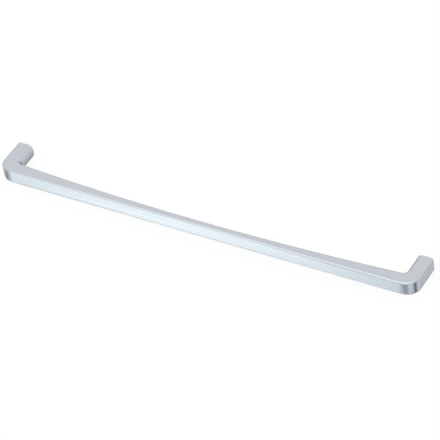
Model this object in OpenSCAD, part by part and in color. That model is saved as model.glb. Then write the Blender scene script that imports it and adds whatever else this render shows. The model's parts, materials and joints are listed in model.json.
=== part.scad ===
// Cabinet pull handle, cast in one piece.
// Flat front, bowed and rounded back, and two legs with tapped feet.
// The origin is midway between the screw holes, on the mounting plane.
// +X runs along the bar, +Y points into the door and +Z is up.

/* [Mounting] */
// Distance between the screw holes, centre to centre
hole_spacing = 320; // [96:1:480]
// Nominal diameter of the metric thread in each foot
thread_d = 4; // [3:0.5:5]
// Pitch of that thread
thread_pitch = 0.7; // [0.5:0.1:0.8]
// Depth of the drilled hole, without its conical tip
hole_depth = 14; // [8:0.5:18]
// Depth of the countersink at the mouth of the hole
countersink = 0.5; // [0.2:0.1:0.8]

/* [Bar] */
// Height of the bar and of both legs
bar_height = 11.5; // [8:0.5:20]
// Distance from the mounting plane to the front face
projection = 30; // [24:0.5:45]
// Depth of the bar at its middle
depth_middle = 6.4; // [5:0.1:9]
// Depth of the bar where its bow reaches the legs
depth_end = 11.8; // [9.5:0.1:14]

/* [Legs] */
// Width of each leg, along the bar
leg_width = 12; // [9:0.5:18]
// Radius of the outer corners, seen from above
corner_r = 10.5; // [5:0.5:12]
// Radius of the inner corners, seen from above
inner_r = 3; // [2:0.5:6]

/* [Edges] */
// Radius of the edges round the front face and the outer sides
front_edge_r = 1.8; // [0.4:0.1:2.5]
// Radius of the edges round the finger gap
back_edge_r = 4.4; // [1:0.1:7]

/* [Hidden] */
$fn = 128;

half_length = (hole_spacing + leg_width) / 2;
half_gap = half_length - leg_width;

// Edges round the finger gap, limited by the thinnest wall with a flat strip left on it
flat_strip = 0.2;
gap_edge_r = min(back_edge_r, (bar_height - flat_strip) / 2, depth_middle - front_edge_r - flat_strip);

// The bow is an arc through the middle depth and both end depths
bow_rise = depth_end - depth_middle;
bow_r = round((half_gap * half_gap + bow_rise * bow_rise) / (2 * bow_rise) * 10) / 10;
bow_y = bow_r + depth_middle - projection;

// Each inner corner is an arc that touches both the bow and the leg
inner_x = half_gap - inner_r;
inner_y = bow_y - sqrt(pow(bow_r - inner_r, 2) - inner_x * inner_x);
bow_angle = atan2(inner_x, bow_y - inner_y);
// Small drop of that arc's centre, because the bow is lower there than at its very end
inner_drop = inner_y - (depth_end - projection + inner_r);

// The bow's long arc is revolved in short steps, in degrees, so that it stays smooth
bow_step = 0.5;
bow_steps = ceil(bow_angle / bow_step) + 1;
bow_overlap = bow_step / 10;

// Neighbouring solids run into each other by this much, so that they join
seam = 0.001;

core_d = thread_d - thread_pitch;
drill_point = 118;

// How far the metal outside the finger gap is drawn, past the handle's own outside
reach = 2 * projection;
// How far a cut runs out of the face that it starts from
cut_over = 0.5;

// Section of a wall that starts at x = 0 with both its edges rounded
module rounded_wall(r, depth) {
    translate([r, -bar_height / 2])
        square([depth - r, bar_height]);
    translate([0, r - bar_height / 2])
        square([depth, bar_height - 2 * r]);
    for (side = [-1, 1])
        translate([r, side * (bar_height / 2 - r)])
            circle(r);
}

// Runs a section along +Y from y = 0
module run_along_y(length) {
    translate([0, length, 0])
        rotate([90, 0, 0])
            linear_extrude(length)
                children();
}

// Right half of the front, the outer corner and the outer side, filled in behind
module outer_half() {
    translate([0, -projection, 0])
        rotate([90, 0, 90])
            linear_extrude(half_length - corner_r)
                rounded_wall(front_edge_r, projection);
    translate([half_length, corner_r - projection, 0])
        mirror([1, 0, 0])
            run_along_y(projection - corner_r)
                rounded_wall(front_edge_r, corner_r);
    translate([half_length - corner_r, corner_r - projection, 0])
        rotate([0, 0, -90])
            rotate_extrude(angle = 90)
                intersection() {
                    translate([corner_r, 0])
                        mirror([1, 0])
                            rounded_wall(front_edge_r, 2 * corner_r);
                    translate([0, -bar_height])
                        square([corner_r, 2 * bar_height]);
                }
}

// Puts its children at the centre of the right inner corner
module at_inner_corner() {
    translate([inner_x, depth_end - projection + inner_r, 0])
        translate([0, inner_drop, 0])
            children();
}

// Everything on the bow's side of the line where the bow meets the inner corner
module bow_side(past = 0) {
    at_inner_corner()
        rotate([0, 0, bow_angle])
            translate([past - 2 * half_length, -half_length, -bar_height])
                cube([2 * half_length, 2 * half_length, 2 * bar_height]);
}

// Right half of the metal outside the finger gap, with the gap's edges rounded
module around_gap_half() {
    intersection() {
        translate([0, bow_y, 0])
            rotate([0, 0, -90])
                for (i = [-1 : bow_steps - 1])
                    rotate_extrude(angle = bow_step + bow_overlap, start = i * bow_step)
                        translate([bow_r, 0])
                            rounded_wall(gap_edge_r, reach);
        bow_side(past = seam);
    }
    difference() {
        at_inner_corner()
            rotate([0, 0, -90])
                rotate_extrude(angle = 90)
                    translate([inner_r, 0])
                        rounded_wall(gap_edge_r, reach);
        bow_side();
    }
    at_inner_corner()
        translate([inner_r, -seam, 0])
            run_along_y(projection)
                rounded_wall(gap_edge_r, reach);
}

// Tapping hole with a countersunk mouth and a drill point, going in from y = 0 towards -Y
module screw_hole() {
    rotate([90, 0, 0]) {
        cylinder(h = hole_depth, d = core_d);
        translate([0, 0, -cut_over])
            cylinder(h = countersink + cut_over, d1 = core_d + 2 * (countersink + cut_over), d2 = core_d);
        translate([0, 0, hole_depth])
            cylinder(h = core_d / 2 / tan(drill_point / 2), d1 = core_d, d2 = 0);
    }
}

// The whole casting: two mirrored halves, drilled in both feet
module handle() {
    color("gainsboro")
        difference() {
            for (side = [0, 1])
                mirror([side, 0, 0])
                    intersection() {
                        outer_half();
                        around_gap_half();
                    }
            for (side = [-1, 1])
                translate([side * hole_spacing / 2, 0, 0])
                    screw_hole();
        }
}

handle();
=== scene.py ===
import json
import math

import bmesh
import bpy
from mathutils import Matrix, Vector


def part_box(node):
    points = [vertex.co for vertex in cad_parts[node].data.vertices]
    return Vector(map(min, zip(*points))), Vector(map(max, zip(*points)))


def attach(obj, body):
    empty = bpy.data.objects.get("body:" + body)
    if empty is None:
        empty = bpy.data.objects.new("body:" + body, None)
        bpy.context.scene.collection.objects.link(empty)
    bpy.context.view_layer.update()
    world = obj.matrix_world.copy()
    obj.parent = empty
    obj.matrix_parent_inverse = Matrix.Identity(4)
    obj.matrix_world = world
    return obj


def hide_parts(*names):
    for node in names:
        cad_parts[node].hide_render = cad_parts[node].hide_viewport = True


# Long cabinet pull in satin chrome, lying on a pale table. All lengths in metres.

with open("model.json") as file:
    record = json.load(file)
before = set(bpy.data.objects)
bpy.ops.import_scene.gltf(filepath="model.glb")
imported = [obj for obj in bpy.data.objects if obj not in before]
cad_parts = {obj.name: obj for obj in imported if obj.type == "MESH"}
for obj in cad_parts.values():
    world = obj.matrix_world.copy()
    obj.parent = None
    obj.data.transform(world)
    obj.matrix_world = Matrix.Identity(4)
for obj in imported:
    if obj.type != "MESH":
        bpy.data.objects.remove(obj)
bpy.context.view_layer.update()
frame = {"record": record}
mm = 0.001

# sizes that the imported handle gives, with each leg centred on its screw hole
low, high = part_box("handle")
halfLength = high.x
projection = -low.y
height = high.z - low.z
screwHoles = next(m for m in frame["record"]["mounts"] if m["name"] == "screw_holes")["dims"]
halfSpacing = screwHoles["spacing_x_mm"] * mm / 2
coreRadius = screwHoles["hole_r_mm"] * mm
halfGap = 2 * halfSpacing - halfLength
handleSize = [round(length / mm, 1) for length in (2 * halfLength, projection, height)]
print("frame: handle", handleSize, "mm")


# helpers

squareTo = 0.9                                  # a normal this far along an axis faces that way
mixColourA, mixColourB, mixColourOut = 6, 7, 2  # colour sockets of a Mix node


def workOn(piece):
    bpy.ops.object.select_all(action="DESELECT")
    piece.select_set(True)
    bpy.context.view_layer.objects.active = piece


def pick(piece, kind, test):
    # selects the edit-mode verts, edges or faces that pass the test
    bpy.ops.mesh.select_mode(type={"verts": "VERT", "edges": "EDGE", "faces": "FACE"}[kind])
    bpy.ops.mesh.select_all(action="DESELECT")
    mesh = bmesh.from_edit_mesh(piece.data)
    for part in getattr(mesh, kind):
        if test(part):
            part.select_set(True)
    bmesh.update_edit_mesh(piece.data)


def near(a, b, slack=0.01 * mm):
    return abs(a - b) < slack


def middle(edge):
    return (edge.verts[0].co + edge.verts[1].co) / 2


def upright(edge):
    step = edge.verts[1].co - edge.verts[0].co
    return near(step.x, 0) and near(step.y, 0)


def addNode(tree, kind, settings=None, links=None):
    # one node, with its settings and its incoming links by socket name or number
    node = tree.nodes.new(kind)
    for name, value in (settings or {}).items():
        if isinstance(name, int) or name in node.inputs:
            node.inputs[name].default_value = value
        else:
            setattr(node, name, value)
    for name, source in (links or {}).items():
        tree.links.new(source, node.inputs[name])
    return node


def colour(hexCode):
    # sRGB hex to linear
    parts = [int(hexCode[i:i + 2], 16) / 255 for i in (1, 3, 5)]
    return tuple(c / 12.92 if c <= 0.04045 else ((c + 0.055) / 1.055) ** 2.4 for c in parts) + (1,)


# handle

handleForm = {
    "depthMiddle": 6.4 * mm,          # bar depth at the middle of the bow
    "depthEnd": 11.8 * mm,            # bar depth where the bow reaches the legs
    "bowStations": 40,
    "cornerRadius": 10.5 * mm,        # outer corners, from above
    "cornerSteps": 16,
    "innerRadius": 3 * mm,            # inner corners, from above
    "innerSteps": 18,                 # two more than the outer corner, so the top bridges in quads
    "frontEdge": 1.8 * mm,            # edge round the front and the outer sides
    "frontEdgeSteps": 8,
    "gapEdge": 4.4 * mm,              # edge round the finger gap
    "gapEdgeSteps": 14,
    "footEdge": 0.4 * mm,             # broken edge round the cut feet
    "footEdgeSteps": 2,
    "smoothAngle": math.radians(35),  # edges that turn more than this stay crisp
}

bowRise = handleForm["depthEnd"] - handleForm["depthMiddle"]
bowRadius = (halfGap ** 2 + bowRise ** 2) / (2 * bowRise)
bowCentreY = bowRadius + handleForm["depthMiddle"] - projection
cornerX = halfLength - handleForm["cornerRadius"]
cornerY = handleForm["cornerRadius"] - projection
innerX = halfGap - handleForm["innerRadius"]
innerY = bowCentreY - math.sqrt((bowRadius - handleForm["innerRadius"]) ** 2 - innerX ** 2)
bowAngle = math.atan2(innerX, bowCentreY - innerY)


def bowY(x):
    return bowCentreY - math.sqrt(bowRadius ** 2 - x ** 2)


def depthFromOutside(x, y):
    # distance in from the front, the round corners and the outer sides
    acrossX = abs(x) - cornerX
    acrossY = cornerY - y
    beyond = math.hypot(max(acrossX, 0), max(acrossY, 0))
    return handleForm["cornerRadius"] - beyond - min(max(acrossX, acrossY), 0)


def wallKind(face):
    # which side of the handle a face belongs to
    centre = face.calc_center_median()
    if abs(face.normal.z) > squareTo:
        return "flat"
    if near(centre.y, 0) and face.normal.y > squareTo:
        return "foot"
    return "outer" if depthFromOutside(centre.x, centre.y) < handleForm["frontEdge"] else "gap"


def rimOf(kind):
    # edges between the flat top or underside and one kind of wall
    def test(edge):
        kinds = [wallKind(face) for face in edge.link_faces]
        return "flat" in kinds and kind in kinds
    return test


def bevelPicked(offset, steps):
    bpy.ops.mesh.bevel(offset=offset, segments=steps, profile=0.5, affect="EDGES",
                       offset_type="OFFSET", clamp_overlap=False)


def makeHandle():
    form = handleForm
    barBackY = form["depthEnd"] - projection
    bpy.ops.object.select_all(action="DESELECT")
    bpy.ops.mesh.primitive_cube_add(size=1, location=(0, (barBackY - projection) / 2, 0),
                                    scale=(2 * halfLength, form["depthEnd"], height))
    piece = bpy.context.object
    piece.name = "pullHandle"
    bpy.ops.object.transform_apply(location=True, rotation=True, scale=True)
    bpy.ops.object.mode_set(mode="EDIT")

    # the legs grow out of the back of a straight bar
    for x in (-halfGap, halfGap):
        bpy.ops.mesh.select_all(action="SELECT")
        bpy.ops.mesh.bisect(plane_co=(x, 0, 0), plane_no=(1, 0, 0))
    pick(piece, "faces", lambda f: f.normal.y > squareTo and abs(f.calc_center_median().x) > halfGap)
    bpy.ops.mesh.extrude_region_move(TRANSFORM_OT_translate={"value": (0, -barBackY, 0)})

    # the back of the bar is cut into stations, then each is pushed in along the bow
    stations = [halfGap * (2 * i / form["bowStations"] - 1) for i in range(1, form["bowStations"])]
    for x in stations:
        pick(piece, "faces", lambda f: abs(f.calc_center_median().x) < halfGap)
        bpy.ops.mesh.bisect(plane_co=(x, 0, 0), plane_no=(1, 0, 0))
    for x in stations:
        pick(piece, "verts", lambda v: near(v.co.x, x) and near(v.co.y, barBackY))
        bpy.ops.transform.translate(value=(0, bowY(x) - barBackY, 0))

    # top and underside become one face each, so every rim has clean walls to slide on
    pick(piece, "edges", lambda e: all(abs(f.normal.z) > squareTo for f in e.link_faces))
    bpy.ops.mesh.dissolve_edges(use_verts=False)

    # round corners from above
    pick(piece, "edges", lambda e: upright(e) and near(abs(middle(e).x), halfLength)
         and near(middle(e).y, -projection))
    bevelPicked(form["cornerRadius"], form["cornerSteps"])
    pick(piece, "edges", lambda e: upright(e) and near(abs(middle(e).x), halfGap)
         and near(middle(e).y, barBackY))
    bevelPicked(form["innerRadius"] * math.tan((math.pi / 2 - bowAngle) / 2), form["innerSteps"])

    # crisp edges outside, a fully rounded grip inside
    pick(piece, "edges", rimOf("outer"))
    bevelPicked(form["frontEdge"], form["frontEdgeSteps"])
    pick(piece, "edges", rimOf("gap"))
    bevelPicked(form["gapEdge"], form["gapEdgeSteps"])

    # top and underside as a strip of quads between their two rims
    for z in (low.z, high.z):
        pick(piece, "faces", lambda f: abs(f.normal.z) > squareTo and near(f.calc_center_median().z, z))
        bpy.ops.mesh.delete(type="ONLY_FACE")
        pick(piece, "edges", lambda e: e.is_boundary and near(middle(e).z, z)
             and not near(middle(e).y, 0))
        bpy.ops.mesh.bridge_edge_loops()

    # the cut feet lose their sharp edge
    pick(piece, "edges", lambda e: near(e.verts[0].co.y, 0) and near(e.verts[1].co.y, 0))
    bevelPicked(form["footEdge"], form["footEdgeSteps"])
    bpy.ops.mesh.select_all(action="SELECT")
    bpy.ops.mesh.normals_make_consistent(inside=False)
    bpy.ops.object.mode_set(mode="OBJECT")
    return piece


# tapped holes

tapForm = {
    "pitch": 0.7 * mm,
    "threadRadius": 2 * mm,           # outside of an M4 thread
    "crestShare": 0.25,               # of the pitch, the flat crest
    "flankShare": 0.6,                # of the pitch, both flanks together
    "threadDepth": 12 * mm,
    "runOut": 1.4 * mm,               # the thread fades over its last turns
    "drillDepth": 14 * mm,
    "drillPoint": math.radians(118),
    "pointRadius": 0.01 * mm,         # the drill point ends almost sharp
    "countersink": 0.5 * mm,
    "outside": 0.3 * mm,              # the tap stands this far out of the foot
    "sides": 32,
    "rowsPerTurn": 8,
}

pointLength = coreRadius / math.tan(tapForm["drillPoint"] / 2)


def tapRadius(depth, angle):
    # radius of the tapped hole at a depth below the foot, at an angle round its axis
    form = tapForm
    if depth > form["drillDepth"]:
        return max(coreRadius * (1 - (depth - form["drillDepth"]) / pointLength), form["pointRadius"])
    phase = abs((depth / form["pitch"] + angle / (2 * math.pi)) % 1 - 0.5) * 2
    flank = min(max((phase - form["crestShare"]) / form["flankShare"], 0), 1)
    fade = min(max((form["threadDepth"] - depth) / form["runOut"], 0), 1)
    thread = coreRadius + (form["threadRadius"] - coreRadius) * flank * fade
    return max(thread, coreRadius + form["countersink"] - depth)


def makeTap(x):
    form = tapForm
    length = form["outside"] + form["drillDepth"] + pointLength
    rows = round(length / form["pitch"] * form["rowsPerTurn"])
    bpy.ops.object.select_all(action="DESELECT")
    bpy.ops.mesh.primitive_cylinder_add(vertices=form["sides"], radius=coreRadius, depth=length,
                                        location=(x, form["outside"] - length / 2, 0),
                                        rotation=(math.pi / 2, 0, 0))
    tap = bpy.context.object
    bpy.ops.object.transform_apply(location=True, rotation=True, scale=True)
    bpy.ops.object.mode_set(mode="EDIT")
    pick(tap, "edges", lambda e: abs(e.verts[0].co.y - e.verts[1].co.y) > length / 2)
    bpy.ops.mesh.subdivide(number_cuts=rows - 1)
    bpy.ops.object.mode_set(mode="OBJECT")
    for vertex in tap.data.vertices:
        angle = math.atan2(vertex.co.z, vertex.co.x - x)
        radius = tapRadius(-vertex.co.y, angle)
        vertex.co.x = x + radius * math.cos(angle)
        vertex.co.z = radius * math.sin(angle)
    return tap


def tapFeet(piece):
    for x in (-halfSpacing, halfSpacing):
        tap = makeTap(x)
        workOn(piece)
        cut = piece.modifiers.new("tappedHole", "BOOLEAN")
        cut.operation = "DIFFERENCE"
        cut.solver = "EXACT"
        cut.object = tap
        bpy.ops.object.modifier_apply(modifier=cut.name)
        bpy.data.objects.remove(tap)


def finishShading(piece):
    # smooth rounds beside truly flat faces
    workOn(piece)
    bpy.ops.object.shade_smooth_by_angle(angle=handleForm["smoothAngle"])
    flats = piece.modifiers.new("flatFaces", "WEIGHTED_NORMAL")
    flats.mode = "FACE_AREA"
    flats.weight = 100
    flats.keep_sharp = True
    bpy.ops.object.modifier_apply(modifier=flats.name)


# satin chrome plate on a zinc casting, brushed lengthwise before plating:
# a cool white metal whose reflections stay crisp along the brush and smear across it

chromeFinish = {
    "plate": "#e4ecf2",
    "plateDull": "#dde6ec",           # where the brush cut a little deeper
    "roughness": 0.2,
    "roughnessDull": 0.25,
    "anisotropy": 0.75,
    "smearTurn": 0.25,                # a quarter turn, so that the smear lies across the brush
    "bendRadius": 9 * mm,             # of an average brush line round a corner
    "lineLength": 160 * mm,
    "lineWidth": 0.9 * mm,            # real lines are near 0.1 mm, drawn wider so that they show
    "fineLength": 60 * mm,
    "fineWidth": 0.4 * mm,
    "fineShare": 0.4,                 # how much the fine lines count
    "lineFloor": 0.35,                # noise at or below this is a full line
    "lineCeiling": 0.65,              # noise at or above this is clear plate
    "lineDepth": 0.002 * mm,
}


def alongHandle(x, y):
    # distance along the handle from its middle, and the direction in which it grows
    side = 1 if x >= 0 else -1
    bend = chromeFinish["bendRadius"]
    if abs(x) <= innerX:
        return x, Vector((1, 0, 0))
    if y >= innerY:
        return side * (innerX + bend * math.pi / 2 + y - innerY), Vector((0, side, 0))
    turn = math.atan2(abs(x) - innerX, innerY - y)
    return side * (innerX + bend * turn), Vector((math.cos(turn), side * math.sin(turn), 0))


def layBrushLines(piece):
    # the brush follows the handle: along the bar, round the corners and down the legs
    places = piece.data.attributes.new("brushPlace", "FLOAT_VECTOR", "POINT")
    ways = piece.data.attributes.new("brushWay", "FLOAT_VECTOR", "POINT")
    for vertex, place, way in zip(piece.data.vertices, places.data, ways.data):
        along, direction = alongHandle(vertex.co.x, vertex.co.y)
        place.vector = (along, depthFromOutside(vertex.co.x, vertex.co.y), vertex.co.z)
        way.vector = direction


def makeSatinChrome():
    finish = chromeFinish
    material = bpy.data.materials.new("satinChromePlate")
    material.use_nodes = True
    tree = material.node_tree
    tree.nodes.clear()
    place = addNode(tree, "ShaderNodeAttribute", {"attribute_name": "brushPlace"})
    way = addNode(tree, "ShaderNodeAttribute", {"attribute_name": "brushWay"})
    layers = []
    for length, width in (("lineLength", "lineWidth"), ("fineLength", "fineWidth")):
        stretch = addNode(tree, "ShaderNodeMapping",
                          {"Scale": (1 / finish[length], 1 / finish[width], 1 / finish[width])},
                          {"Vector": place.outputs["Vector"]})
        layers.append(addNode(tree, "ShaderNodeTexNoise",
                              {"Scale": 1.0, "Detail": 2.0, "Roughness": 0.5},
                              {"Vector": stretch.outputs["Vector"]}))
    lines = addNode(tree, "ShaderNodeMix", {"data_type": "FLOAT", "Factor": finish["fineShare"]},
                    {"A": layers[0].outputs["Fac"], "B": layers[1].outputs["Fac"]})
    contrast = addNode(tree, "ShaderNodeMapRange",
                       {"From Min": finish["lineFloor"], "From Max": finish["lineCeiling"]},
                       {"Value": lines.outputs["Result"]})
    tint = addNode(tree, "ShaderNodeMix",
                   {"data_type": "RGBA", mixColourA: colour(finish["plateDull"]),
                    mixColourB: colour(finish["plate"])},
                   {"Factor": contrast.outputs["Result"]})
    rough = addNode(tree, "ShaderNodeMapRange",
                    {"To Min": finish["roughnessDull"], "To Max": finish["roughness"]},
                    {"Value": contrast.outputs["Result"]})
    relief = addNode(tree, "ShaderNodeBump", {"Strength": 1.0, "Distance": finish["lineDepth"]},
                     {"Height": contrast.outputs["Result"]})
    surface = addNode(tree, "ShaderNodeBsdfPrincipled",
                      {"Metallic": 1.0, "Anisotropic": finish["anisotropy"],
                       "Anisotropic Rotation": finish["smearTurn"]},
                      {"Base Color": tint.outputs[mixColourOut], "Roughness": rough.outputs["Result"],
                       "Normal": relief.outputs["Normal"], "Tangent": way.outputs["Vector"]})
    addNode(tree, "ShaderNodeOutputMaterial", None, {"Surface": surface.outputs["BSDF"]})
    return material


handle = makeHandle()
print("handle:", len(handle.data.polygons), "faces before tapping")
tapFeet(handle)
print("handle:", len(handle.data.polygons), "faces with tapped feet")
finishShading(handle)
layBrushLines(handle)
handle.data.materials.clear()
handle.data.materials.append(makeSatinChrome())
print("finish: satin chrome plate, brushed lengthwise")
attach(handle, "root")
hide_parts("handle")


# table, light and camera

tableForm = {
    "size": 8.0,
    "top": "#f2f3f4",
    "whiteToCamera": 0.9,             # share of plain white the camera sees, the rest keeps the shadow
}


def makeTable():
    bpy.ops.object.select_all(action="DESELECT")
    bpy.ops.mesh.primitive_plane_add(size=tableForm["size"], location=(0, 0, low.z))
    table = bpy.context.object
    table.name = "paleTable"
    table.visible_glossy = False      # the metal mirrors the tent all round
    material = bpy.data.materials.new("paleTableTop")
    material.use_nodes = True
    tree = material.node_tree
    tree.nodes.clear()
    ray = addNode(tree, "ShaderNodeLightPath")
    share = addNode(tree, "ShaderNodeMath", {"operation": "MULTIPLY", 1: tableForm["whiteToCamera"]},
                    {0: ray.outputs["Is Camera Ray"]})
    matt = addNode(tree, "ShaderNodeBsdfDiffuse", {"Color": colour(tableForm["top"])})
    white = addNode(tree, "ShaderNodeEmission", {"Color": (1, 1, 1, 1), "Strength": 1.0})
    both = addNode(tree, "ShaderNodeMixShader", None,
                   {0: share.outputs[0], 1: matt.outputs[0], 2: white.outputs[0]})
    addNode(tree, "ShaderNodeOutputMaterial", None, {"Surface": both.outputs[0]})
    table.data.materials.append(material)


# what the metal mirrors in the light tent: rings of brightness, each at a height in degrees and
# by bearing in degrees from the front (0) round by the right (90). The note above a ring says
# which part of the handle mirrors it in the photograph's view
tentForm = {
    "rings": (
        # lower edges
        (-54, ((-180, 0.05), (-150, 0.12), (-128, 0.45), (-118, 0.65), (-90, 0.5), (-58, 0.75),
               (-48, 0.45), (-35, 0.95), (0, 0.5), (60, 0.3), (120, 0.2), (145, 0.1), (180, 0.05))),
        # front, round corners and sides
        (-40, ((-180, 0.05), (-165, 0.1), (-150, 0.45), (-128, 0.2), (-104, 0.7), (-72, 0.15),
               (-54, 0.6), (-42.5, 0.4), (-37.2, 1.8), (-33.5, 1.76), (-28.4, 0.33), (-20, 0.56),
               (-12, 0.42), (10, 0.27), (47, 1.0), (66, 0.66), (83, 0.02), (100, 0.66), (113, 0.98),
               (129, 0.86), (140, 0.35), (149, 1.08), (159, 0.12), (180, 0.05))),
        # upper edges, where they begin to turn
        (-24, ((-180, 0.16), (-153, 0.5), (-128, 0.3), (-104, 0.6), (-72, 0.3), (-54, 0.55),
               (-40, 0.6), (-34, 0.8), (-29, 0.98), (-26, 0.86), (-23, 0.58), (-12, 0.45), (10, 0.36),
               (47, 0.8), (66, 0.6), (83, 0.2), (113, 0.8), (129, 0.76), (140, 0.42), (149, 0.85),
               (159, 0.23), (180, 0.16))),
        # upper edges, farther round
        (-4, ((-180, 0.35), (-153, 0.72), (-125, 0.45), (-90, 0.55), (-36, 0.58), (-30.5, 0.68),
              (-25.5, 0.97), (-21.5, 0.6), (-18, 0.5), (40, 0.5), (90, 0.45), (125, 0.62),
              (150, 0.5), (172, 0.3), (180, 0.3))),
        # top
        (22, ((-180, 0.74), (-120, 0.74), (-60, 0.74), (-40, 0.76), (-26, 1.2), (0, 1.1), (50, 0.95),
              (90, 0.75), (180, 0.74))),
    ),
    "coolTint": "#f8fafd",            # low in front
    "coolWithin": 100,                # degrees either side of the front
    "plainTint": "#fffbfa",           # everywhere else
    "dimBlue": 0.94,                  # power on the blue part, which leaves dim parts a little bluer
    "light": 1.05,                    # what the table gets from the tent
}


def bearingRamp(tree, ringHeight, stops, bearing):
    # brightness round the tent from a short list of bearings
    ramp = addNode(tree, "ShaderNodeValToRGB", None, {"Fac": bearing})
    ramp.color_ramp.interpolation = "EASE"
    for i, (degrees, level) in enumerate(stops):
        place = degrees / 360 + 0.5
        stop = ramp.color_ramp.elements[i] if i < 2 else ramp.color_ramp.elements.new(place)
        stop.position = place
        cool = ringHeight < 0 and abs(degrees) < tentForm["coolWithin"]
        red, green, blue, solid = colour(tentForm["coolTint" if cool else "plainTint"])
        stop.color = (level * red, level * green, level ** tentForm["dimBlue"] * blue, solid)
    return ramp.outputs["Color"]


def makeTent():
    world = bpy.data.worlds.new("lightTent")
    bpy.context.scene.world = world
    world.use_nodes = True
    tree = world.node_tree
    tree.nodes.clear()
    ray = addNode(tree, "ShaderNodeLightPath")
    way = addNode(tree, "ShaderNodeTexCoord")
    axes = addNode(tree, "ShaderNodeSeparateXYZ", None, {"Vector": way.outputs["Generated"]})
    front = addNode(tree, "ShaderNodeMath", {"operation": "MULTIPLY", 1: -1.0}, {0: axes.outputs["Y"]})
    angle = addNode(tree, "ShaderNodeMath", {"operation": "ARCTAN2"},
                    {0: axes.outputs["X"], 1: front.outputs[0]})
    bearing = addNode(tree, "ShaderNodeMapRange", {"From Min": -math.pi, "From Max": math.pi},
                      {"Value": angle.outputs[0]})
    tent = None
    for ringHeight, stops in tentForm["rings"]:
        ring = bearingRamp(tree, ringHeight, stops, bearing.outputs["Result"])
        ringZ = math.sin(math.radians(ringHeight))
        if tent is not None:
            rise = addNode(tree, "ShaderNodeMapRange",
                           {"interpolation_type": "SMOOTHSTEP", "From Min": lastZ, "From Max": ringZ},
                           {"Value": axes.outputs["Z"]})
            mixed = addNode(tree, "ShaderNodeMix", {"data_type": "RGBA"},
                            {"Factor": rise.outputs["Result"], mixColourA: tent, mixColourB: ring})
            ring = mixed.outputs[mixColourOut]
        tent, lastZ = ring, ringZ
    mirrored = addNode(tree, "ShaderNodeBackground", None, {"Color": tent})
    plain = addNode(tree, "ShaderNodeBackground",
                    {"Color": (1, 1, 1, 1), "Strength": tentForm["light"]})
    backdrop = addNode(tree, "ShaderNodeBackground", {"Color": (1, 1, 1, 1), "Strength": 1.0})
    lit = addNode(tree, "ShaderNodeMixShader", None,
                  {0: ray.outputs["Is Glossy Ray"], 1: plain.outputs[0], 2: mirrored.outputs[0]})
    seen = addNode(tree, "ShaderNodeMixShader", None,
                   {0: ray.outputs["Is Camera Ray"], 1: lit.outputs[0], 2: backdrop.outputs[0]})
    addNode(tree, "ShaderNodeOutputWorld", None, {"Surface": seen.outputs[0]})


# softboxes for the shadow on the table, which the metal doesn't mirror
lampForm = {
    "keySoftbox": {"place": (-0.9, -1.1, 1.3), "size": (1.2, 1.0), "power": 6},
    "fillSoftbox": {"place": (1.2, 0.6, 1.4), "size": (1.2, 1.0), "power": 2},
}


def makeLamp(name, place, size, power):
    lamp = bpy.data.lights.new(name, "AREA")
    lamp.shape = "RECTANGLE"
    lamp.size, lamp.size_y = size
    lamp.energy = power
    holder = bpy.data.objects.new(name, lamp)
    bpy.context.scene.collection.objects.link(holder)
    holder.location = place
    holder.rotation_euler = (-Vector(place)).to_track_quat("-Z", "Y").to_euler()
    holder.visible_glossy = False


# camera as fitted to the photograph's outline: turn round the handle, rise and lean in degrees
cameraFit = {
    "turn": 34.95,
    "rise": 41.56,
    "lean": 9.0,
    "distance": 2.1578,
    "pixelsPerMetre": 1440.6,         # on the handle, in a frame this wide
    "frameWidth": 440,
    "aim": (7.06 * mm, -1.74 * mm),   # right and up from the middle of the handle
}


def makeCamera():
    fit = cameraFit
    turn, rise, lean = (math.radians(fit[name]) for name in ("turn", "rise", "lean"))
    back = Vector((math.sin(turn) * math.cos(rise), -math.cos(turn) * math.cos(rise), math.sin(rise)))
    level = Vector((math.cos(turn), math.sin(turn), 0))
    steep = back.cross(level)
    right = level * math.cos(lean) - steep * math.sin(lean)
    up = level * math.sin(lean) + steep * math.cos(lean)
    target = Vector((0, -projection / 2, 0)) + right * fit["aim"][0] + up * fit["aim"][1]
    data = bpy.data.cameras.new("photoCamera")
    data.lens = fit["pixelsPerMetre"] * fit["distance"] * data.sensor_width / fit["frameWidth"]
    camera = bpy.data.objects.new("photoCamera", data)
    bpy.context.scene.collection.objects.link(camera)
    turnMatrix = Matrix((right, up, back)).transposed().to_4x4()
    camera.matrix_world = Matrix.Translation(target + back * fit["distance"]) @ turnMatrix
    bpy.context.scene.camera = camera


makeTable()
makeTent()
for name, lamp in lampForm.items():
    makeLamp(name, **lamp)
makeCamera()
bpy.context.scene.view_settings.view_transform = "Standard"
print("stage: table, tent, lamps and camera set")
